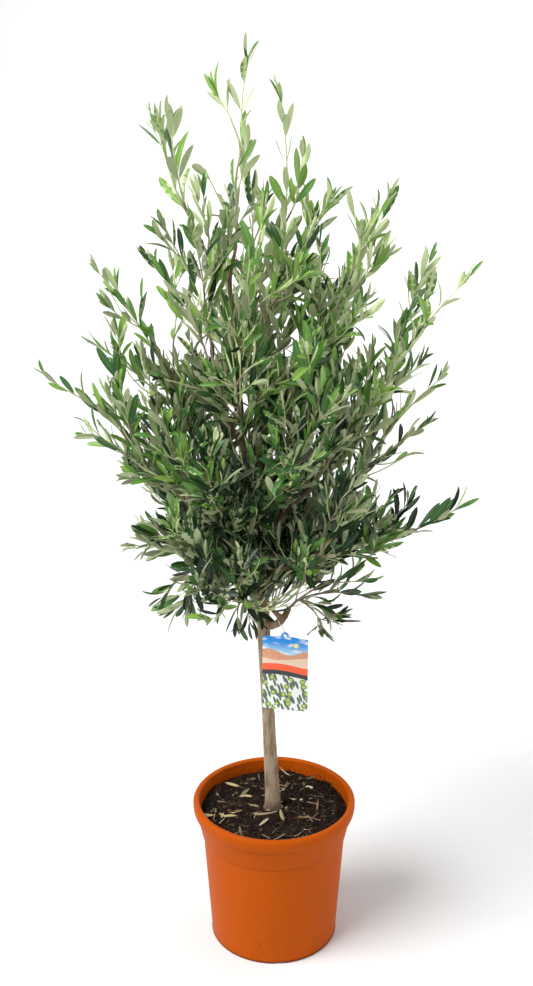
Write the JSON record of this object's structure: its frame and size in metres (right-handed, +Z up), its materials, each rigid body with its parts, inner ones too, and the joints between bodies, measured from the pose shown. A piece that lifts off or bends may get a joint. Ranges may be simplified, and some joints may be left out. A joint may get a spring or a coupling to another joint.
{
  "type": "potted olive tree",
  "caption": "Young olive tree with a full leafy crown on a short clear stem, standing in a round orange plastic nursery pot with a hang label.",
  "frame": {"origin": "centre of the pot's flat underside, at floor level", "axes": "+Z up along the stem, -Y towards the side where the label hangs, +X to the right as seen from there"},
  "size_m": [0.7508, 0.6303, 1.6094],
  "materials": {
    "orange_plastic": "satin moulded plastic with fine scuffs",
    "potting_soil": "damp crumbly compost with dry litter",
    "olive_bark": "matt grey-brown bark, finely fissured",
    "olive_leaf": "leathery green above, silvery grey-green below",
    "label_card": "glossy printed card",
    "clear_tie": "pale translucent plastic"
  },
  "bodies": {
    "root": {"pot": "orange_plastic", "soil": "potting_soil", "trunk": "olive_bark", "label": "label_card", "label_tie": "clear_tie", "bough_elbow": "olive_bark", "bough_cross": "olive_bark", "bough_left_low": "olive_bark", "bough_left_wide": "olive_bark", "bough_left_high": "olive_bark", "bough_left_top": "olive_bark", "bough_right_wide": "olive_bark", "bough_right_mid": "olive_bark", "bough_right_high": "olive_bark", "bough_right_top": "olive_bark", "bough_centre_top": "olive_bark", "bough_front_low_1": "olive_bark", "bough_front_low_2": "olive_bark", "bough_front_mid_1": "olive_bark", "bough_front_mid_2": "olive_bark", "bough_back_low_1": "olive_bark", "bough_back_low_2": "olive_bark", "bough_back_mid_1": "olive_bark", "bough_back_mid_2": "olive_bark", "foliage_top": "olive_leaf", "foliage_top_left": "olive_leaf", "foliage_top_right": "olive_leaf", "foliage_upper_left": "olive_leaf", "foliage_left_high": "olive_leaf", "foliage_left_wide": "olive_leaf", "foliage_left_low": "olive_leaf", "foliage_cross": "olive_leaf", "foliage_right_low": "olive_leaf", "foliage_right_wide": "olive_leaf", "foliage_right_mid": "olive_leaf", "foliage_right_high": "olive_leaf", "foliage_upper_right": "olive_leaf", "foliage_front_high": "olive_leaf", "foliage_front_upper": "olive_leaf", "foliage_back_high": "olive_leaf", "foliage_back_upper": "olive_leaf", "foliage_front_low_1": "olive_leaf", "foliage_front_low_2": "olive_leaf", "foliage_front_mid_1": "olive_leaf", "foliage_front_mid_2": "olive_leaf", "foliage_back_low_1": "olive_leaf", "foliage_back_low_2": "olive_leaf", "foliage_back_mid_1": "olive_leaf", "foliage_back_mid_2": "olive_leaf"}
  },
  "joints": []
}
